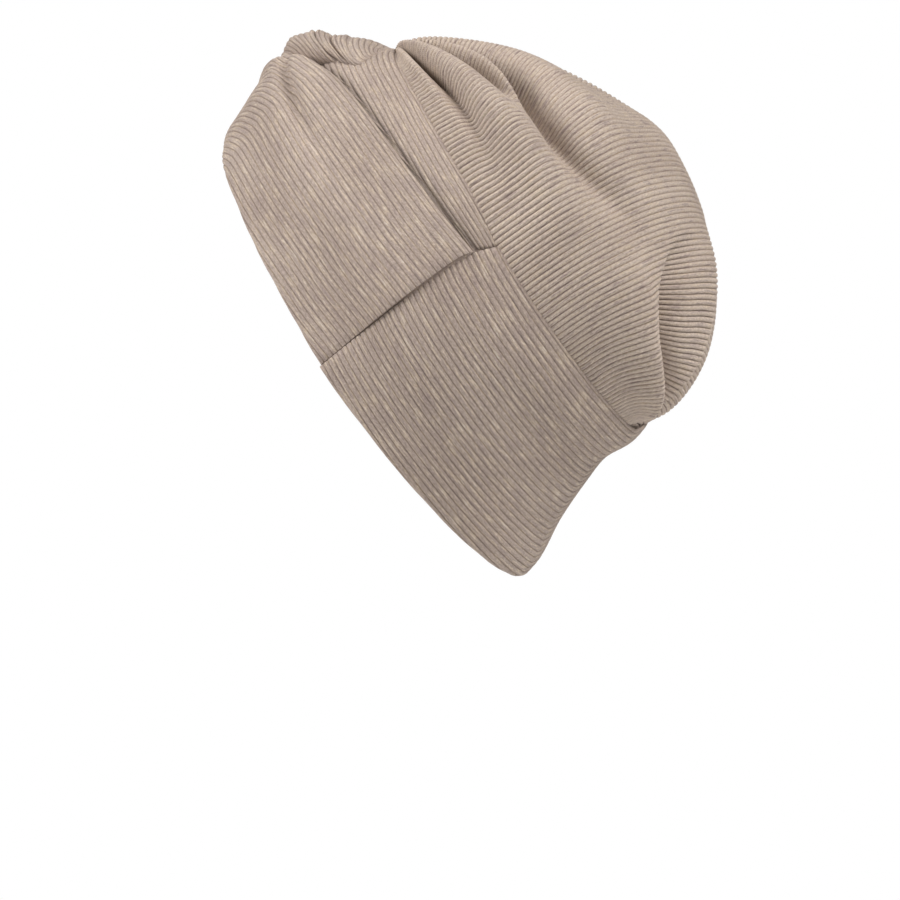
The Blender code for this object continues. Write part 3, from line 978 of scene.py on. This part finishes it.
    def narrow(self) -> tuple[Grid, list, Grid]:
        """The narrow fold, from the band's other edge to under the ridge.

        Returns:
            Points in the band frame, faces, and rib coordinates.
        """
        angle = seam_columns(90 - self.clear(), self.narrow_end, self.column_step)
        tucked = through(self.ridge, angle) - self.tuck
        angles = self.side.value * angle
        high, low = self.height(angles, np.ones(len(angle))), self.height(angles, tucked)
        ridge = self.height(angles, through(self.ridge, angle))
        face = high[:, None] + (low - high)[:, None] * np.linspace(0, 1, self.section_points)
        from_ridge = np.clip((face - ridge[:, None]) * np.sign(high - ridge)[:, None], 0, None)
        sunk = self.crease_depth * np.exp(-from_ridge / self.crease_width)
        top = self.wall - self.dip(angle[0] - angle)[:, None] - sunk
        heights, depths, _ = self.section(high, low, top, np.zeros(len(angle)))
        wide = self.swung(np.broadcast_to(angles[:, None], heights.shape), heights)
        return self.strip(wide, heights, depths, self.narrow_ribs, self.narrow_first)

    def build(self, name: str, finish: bpy.types.Material) -> bpy.types.Object:
        """Builds the wrap.

        Args:
            name: The piece's name.
            finish: The cloth's material.

        Returns:
            The wrap's object.
        """
        points, faces, knits = zip(self.broad(), self.narrow())
        points, faces, knit = joined(list(points), list(faces), list(knits))
        return cloth_object(name, self.form.leaned(points), faces, knit, finish)


@dataclass(frozen=True)
class PaleFloor:
    """Painted studio floor and wall: smooth matt emulsion, near white, with no pattern to see."""

    name: str = "matt_emulsion"
    colour: str = "#F7F7F6"

    def make(self) -> bpy.types.Material:
        """Makes the material."""
        made = bpy.data.materials.new(self.name)
        made.use_nodes = True
        shader = made.node_tree.nodes["Principled BSDF"]
        shader.inputs["Base Color"].default_value = hex_colour(self.colour)
        shader.inputs["Roughness"].default_value = 0.95
        return made


@dataclass
class Studio:
    """Plain soft light, a pale floor and the camera, in metres and degrees."""

    azimuth: float = 108.0
    elevation: float = 1.0
    target: tuple[float, float, float] = (-0.0103, 0.0316, -0.0365)
    distance: float = 4.0
    view_width: float = 0.3913
    sensor: float = 36.0
    floor_drop: float = 0.95
    floor_half: float = 1.6
    sky_below: float = 0.34
    sky_above: float = 0.1

    def towards(self, azimuth: float, elevation: float) -> Vector:
        """The unit vector from the object to a place seen at that azimuth and elevation."""
        a, e = math.radians(azimuth), math.radians(elevation)
        return Vector((math.sin(a) * math.cos(e), -math.cos(a) * math.cos(e), math.sin(e)))

    def camera(self) -> None:
        """Adds the camera."""
        data = bpy.data.cameras.new("camera")
        made = bpy.data.objects.new("camera", data)
        bpy.context.collection.objects.link(made)
        back = self.towards(self.azimuth, self.elevation)
        made.location = Vector(self.target) + back * self.distance
        made.rotation_euler = (-back).to_track_quat("-Z", "Y").to_euler()
        data.sensor_width = self.sensor
        data.lens = self.sensor * self.distance / self.view_width
        bpy.context.scene.camera = made

    def lamp(self, name: str, azimuth: float, elevation: float, strength: float, spread: float,
             colour: str) -> None:
        """Adds one soft, distant light.

        Args:
            name: The light's name.
            azimuth: Where it stands, in degrees.
            elevation: Its height above the horizon, in degrees.
            strength: Its irradiance.
            spread: How wide it looks, in degrees.
            colour: Its hex colour.
        """
        data = bpy.data.lights.new(name, "SUN")
        data.energy = strength
        data.angle = math.radians(spread)
        data.color = hex_colour(colour)[:3]
        made = bpy.data.objects.new(name, data)
        bpy.context.collection.objects.link(made)
        made.rotation_euler = self.towards(azimuth, elevation).to_track_quat("Z", "Y").to_euler()

    def build(self) -> None:
        """Builds the floor, the lights and the camera."""
        scene = bpy.context.scene
        scene.view_settings.view_transform = "Standard"
        world = bpy.data.worlds.new("soft_sky")
        world.use_nodes = True
        tree = world.node_tree
        way = add_node(tree, "ShaderNodeTexCoord")
        parts = add_node(tree, "ShaderNodeSeparateXYZ", inputs={"Vector": way.outputs["Generated"]})
        soft = add_node(tree, "ShaderNodeMapRange",
                        inputs={"Value": parts.outputs["Z"], "From Min": -0.6, "From Max": 0.6,
                                "To Min": self.sky_below, "To Max": self.sky_above})
        seen = add_node(tree, "ShaderNodeLightPath")
        strength = add_node(tree, "ShaderNodeMapRange",
                            inputs={"Value": seen.outputs["Is Camera Ray"],
                                    "To Min": soft.outputs["Result"], "To Max": 1.0})
        tree.links.new(strength.outputs["Result"], tree.nodes["Background"].inputs["Strength"])
        tree.nodes["Background"].inputs["Color"].default_value = hex_colour("#FFFFFF")
        scene.world = world
        self.lamp("front_softbox", 24.0, 22.0, 3.0, 40.0, "#FFFEFC")
        self.lamp("side_softbox", 153.0, 45.0, 3.2, 40.0, "#FFFEFC")
        mesh = bpy.data.meshes.new("floor")
        half = self.floor_half
        corners = [(-half, -half, 0.0), (half, -half, 0.0), (half, half, 0.0), (-half, half, 0.0)]
        mesh.from_pydata(corners, [], [(0, 1, 2, 3)])
        mesh.materials.append(PaleFloor().make())
        floor = bpy.data.objects.new("floor", mesh)
        bpy.context.collection.objects.link(floor)
        floor.location.z = -self.floor_drop
        self.camera()


def place(piece: bpy.types.Object, node: str, slot: str, flat: tuple[float, float], held: str,
          area: float | None = None) -> None:
    """Puts a finished piece on the frame in its CAD node's place.

    Args:
        piece: The finished piece.
        node: The CAD node that it stands for.
        slot: The record's material slot. Not used.
        flat: The cloth's flat width and length in metres. For a strip folded double, it is the
        folded size, because both layers are one wall here. Not used.
        held: How the cloth is held. Not used.
        area: The cut's estimated area in square metres, where it isn't a rectangle. Not used.
    """
    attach(piece, "root")
    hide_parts(node)
    triangles = sum(len(face.vertices) - 2 for face in piece.data.polygons)
    cloth = sum(face.area for face in piece.data.polygons) / 2
    log.info("%s: %d triangles, %.4f m2 of cloth", piece.name, triangles, cloth)


def main() -> None:
    """Builds the headwrap and its studio."""
    form = HeadForm()
    # One jersey in three shades of painted light: the crown is painted lighter, where more light falls, and
    # the band and the wraps are painted darker, as painted shade.
    crown_knit_painted_light = HeatherRibJersey("heather_rib_jersey_crown_painted_light", shade="#C2B2A6").make()
    band_knit_painted_shade = HeatherRibJersey("heather_rib_jersey_band_painted_shade", shade="#AE9E94").make()
    wrap_knit_painted_shade = HeatherRibJersey("heather_rib_jersey_wrap_painted_shade", shade="#B1A197").make()
    place(Crown(form).build(crown_knit_painted_light), "crown", "crown_rib", (0.28, 0.31), "gathered", 0.062)
    place(BackBand(form).build(band_knit_painted_shade), "back_band", "band_rib", (0.09, 0.28), "stretched")
    left = Wrap(form, side=Side.LEFT)
    right = Wrap(form, side=Side.RIGHT, ridge=RIGHT_RIDGE, roll=RIGHT_ROLL, valley=0.0,
                 creases=RIGHT_CREASES)
    for wrap, name in ((left, "left_wrap"), (right, "right_wrap")):
        place(wrap.build(name + "_cloth", wrap_knit_painted_shade), name, "wrap_rib", (0.11, 0.17), "folded")
    Studio().build()


if __name__ == "__main__":
    logging.basicConfig(level=logging.INFO, format="%(message)s")
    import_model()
    main()
